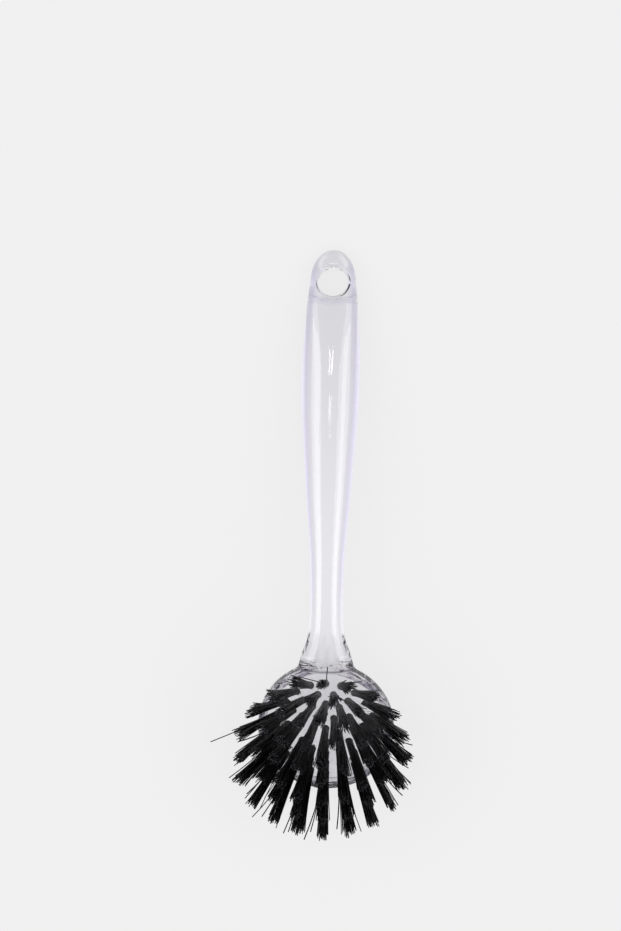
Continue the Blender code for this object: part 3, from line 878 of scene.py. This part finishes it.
# The caps at the tip are the last face of each filament
faces_each = len(filament_faces) // filament_count
for number, (label, root, axes) in enumerate(tufts):
    points, shades = tuft_points(number, strays.get(label, ()))
    placed = (points @ axes + root) @ lying + lying_shift
    tuft = mesh_piece(f"nylon_tuft_{label}", placed, filament_faces, black_nylon, sharp=50.0)
    shade = tuft.data.attributes.new("shade", "FLOAT", "POINT")
    shade.data.foreach_set("value", np.repeat(shades, corners_each).astype(np.float32))
    tip = np.zeros((filament_count, faces_each), np.float32)
    tip[:, -1] = 1.0
    tuft.data.attributes.new("cut_end", "FLOAT", "FACE").data.foreach_set("value", tip.ravel())
    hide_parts(f"tuft_{label}")
    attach(tuft, "root")
print("tufts:", len(tufts), "volume of the last:", round(volume_of(tuft.data) * 1e9, 1), "mm3")

# %% [markdown]
# ## Anchors
# At the bottom of each hole a strip of nickel-plated steel holds the folded filaments. It is seen
# from the back, through the clear plastic, as a short bright dash. One thin box is enough for it,
# and no two lie at quite the same angle, because a machine drives them in one by one.

# %% Nickel-plated steel
plated_steel, tree = new_material("nickel_plated_steel")
where = node(tree, "TexCoord").outputs["Object"]
# Stamping leaves a fine grain, drawn at 0.15 mm
grain = node(tree, "TexNoise", {"Scale": 1 / 0.00015, "Detail": 2.0}, Vector=where)
rough = node(tree, "MapRange", {"To Min": 0.25, "To Max": 0.42}, Value=grain)
plated = {"Base Color": linear("#C9C7C2"), "Metallic": 1.0}
shader = node(tree, "BsdfPrincipled", plated, Roughness=rough)
node(tree, "OutputMaterial", None, Surface=shader)
print("steel colour #C9C7C2, roughness 0.25 to 0.42")

# %% Anchor strips
# Half of the strip's width, thickness and height, its height over the hole's bottom, and its turn
strip_half, strip_lift, strip_turn = (0.00155, 0.00022, 0.00045), 0.0006, radians(20)
square = ((-1, -1), (1, -1), (1, 1), (-1, 1))
strip_corners = np.array([(x, y, z) for z in (-1, 1) for x, y in square]) * strip_half
strips = []
for number, (_, root, axes) in enumerate(tufts):
    spin = strip_turn * sin(2.4 * number)
    turn = np.array(((cos(spin), sin(spin), 0), (-sin(spin), cos(spin), 0), (0, 0, 1)))
    local = strip_corners @ turn + (0, 0, strip_lift - hole_depth)
    strips.append((local @ axes + root) @ lying + lying_shift)
strip_faces = many_tubes(len(strips), 2, 4)
anchors = mesh_piece("anchor_strips", np.concatenate(strips), strip_faces, plated_steel)
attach(anchors, "root")
print("anchors:", len(strips), "volume:", round(volume_of(anchors.data) * 1e9, 2), "mm3")

# %% [markdown]
# ## Floor, sky and lamps
# The photograph is a pale studio shot. The floor is a plain pale sheet. The sky gives soft light
# from everywhere, and the camera sees it as a pale grey backdrop. Reflections and the clear plastic
# see it white, with two darker ends low in front and behind, like the flags that a photographer
# stands beside glass: without them clear plastic has no outline. Two long soft boxes hang left and
# right above the brush, and two narrow strips draw the pair of thin lines on the grip.

# %% Floor: pale paper
def looked_at(tree):
    """1 for what the camera sees, straight, mirrored or through the plastic, and 0 for other light.

    It is the largest of the camera, glossy and transmission flags, as long as the ray has not yet
    been scattered by a matt surface.
    """
    path = node(tree, "LightPath").outputs
    seen = node(tree, "Math", larger, _0=path["Is Camera Ray"], _1=path["Is Glossy Ray"])
    seen = node(tree, "Math", larger, _0=seen, _1=path["Is Transmission Ray"])
    unscattered = {"operation": "LESS_THAN", 1: 0.5}
    straight = node(tree, "Math", unscattered, _0=path["Diffuse Depth"])
    return node(tree, "Math", times, _0=seen, _1=straight)


paper, tree = new_material("pale_paper")
where = node(tree, "TexCoord").outputs["Object"]
fibre = node(tree, "TexNoise", {"Scale": 1 / 0.002, "Detail": 3.0}, Vector=where)
fibre_bump = node(tree, "Bump", {"Strength": 0.02, "Distance": 0.0001}, Height=fibre)
matt = {"Base Color": linear("#F1F1F1"), "Roughness": 0.9, "Specular IOR Level": 0.1}
shader = node(tree, "BsdfPrincipled", matt, Normal=fibre_bump)
plain = node(tree, "Emission", {"Color": linear("#F1F1F1"), "Strength": 1.0})
path = node(tree, "LightPath").outputs
# So much of its look is plain in mirrors and plastic, and to the camera. The rest takes shadows
plain_shares = {"To Min": 0.65, "To Max": 0.85}
share = node(tree, "MapRange", plain_shares, Value=path["Is Camera Ray"])
part_plain = node(tree, "Math", times, _0=looked_at(tree), _1=share)
mixed = node(tree, "MixShader", None, Fac=part_plain, _1=shader, _2=plain)
node(tree, "OutputMaterial", None, Surface=mixed)
print("floor colour #F1F1F1")

# %% Floor sheet
def floor_grid(half, count):
    """A flat square grid of points at height zero."""
    line = np.linspace(-half, half, count)
    x, y = np.meshgrid(line, line, indexing="ij")
    return np.stack([x, y, np.zeros_like(x)], -1)


floor_half = 3.0
grid = floor_grid(floor_half, 3)
row, column = np.meshgrid(np.arange(2), np.arange(2), indexing="ij")
corner = (row * 3 + column).ravel()
floor_faces = np.stack([corner, corner + 3, corner + 4, corner + 1], -1).tolist()
floor = mesh_piece("floor", grid, floor_faces, paper)
floor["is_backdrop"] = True
print("floor faces:", len(floor.data.polygons), "normal up:", floor.data.polygons[0].normal.z > 0)

# %% Sky
world = bpy.data.worlds.new("studio")
bpy.context.scene.world = world
world.use_nodes = True
tree = world.node_tree
tree.nodes.clear()
sky_light = 0.6
soft = node(tree, "Background", {"Color": linear("#FFFFFF"), "Strength": sky_light})
sky_way = node(tree, "TexCoord").outputs["Generated"]
way = node(tree, "SeparateXYZ", None, Vector=sky_way).outputs
# It is bright where the way points well to the side or well up, and dark low in front and behind
sideways = node(tree, "Math", {"operation": "ABSOLUTE"}, _0=way["X"])
sideways = node(tree, "MapRange", {"From Min": 0.45, "From Max": 0.8}, Value=sideways)
high = node(tree, "MapRange", {"From Min": 0.15, "From Max": 0.6}, Value=way["Z"])
lit = node(tree, "Math", larger, _0=sideways, _1=high)
ends = {"data_type": "RGBA", 6: linear("#55525E"), 7: linear("#FFFFFF")}
mirrored = node(tree, "Mix", ends, Factor=lit).outputs[2]
backdrop = {"data_type": "RGBA", 7: linear("#F1F1F1")}
camera_ray = node(tree, "LightPath").outputs["Is Camera Ray"]
shown = node(tree, "Mix", backdrop, Factor=camera_ray, _6=mirrored).outputs[2]
shown = node(tree, "Background", {"Strength": 1.0}, Color=shown)
sky = node(tree, "MixShader", None, Fac=looked_at(tree), _1=soft, _2=shown)
node(tree, "OutputWorld", None, Surface=sky)
print("sky strength for light:", sky_light)

# %% Soft boxes
def soft_box(name, place, turns, size, power):
    """A rectangular lamp that shines along its own minus Z."""
    data = bpy.data.lights.new(name, "AREA")
    data.shape, data.size, data.size_y, data.energy = "RECTANGLE", size[0], size[1], power
    lamp = bpy.data.objects.new(name, data)
    lamp.location, lamp.rotation_euler = place, [radians(turn) for turn in turns]
    bpy.context.scene.collection.objects.link(lamp)
    return lamp


# Places and sizes in metres, turns in degrees, power in watts
box_size, box_power, strip_turns = (0.55, 1.1), 3.5, (-20, 0, 0)
soft_box("soft_box_left", (-0.66, 0.0, 0.92), (0, -35, 0), box_size, box_power)
soft_box("soft_box_right", (0.66, 0.0, 0.92), (0, 35, 0), box_size, box_power)
soft_box("strip_left", (-0.084, 0.4765, 1.1), strip_turns, (0.026, 0.135), 0.08)
soft_box("strip_right", (-0.0245, 0.4765, 1.1), strip_turns, (0.039, 0.135), 0.12)

# %% Colours as written, and enough bounces for clear plastic
bpy.context.scene.view_settings.view_transform = "Standard"
cycles = bpy.context.scene.cycles
cycles.max_bounces, cycles.transmission_bounces, cycles.transparent_max_bounces = 24, 20, 24
cycles.caustics_reflective = cycles.caustics_refractive = False
print("bounces:", cycles.max_bounces)

# %% [markdown]
# ## Sizes, and the end
# The box of what is shown, less the box of the solids, is printed in millimetres.

# %% Finish
shown_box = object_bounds()
past_solids = (np.array(shown_box) - np.array(solid_box)) * 1000
print("shown less solid, mm:", past_solids.round(2).tolist())
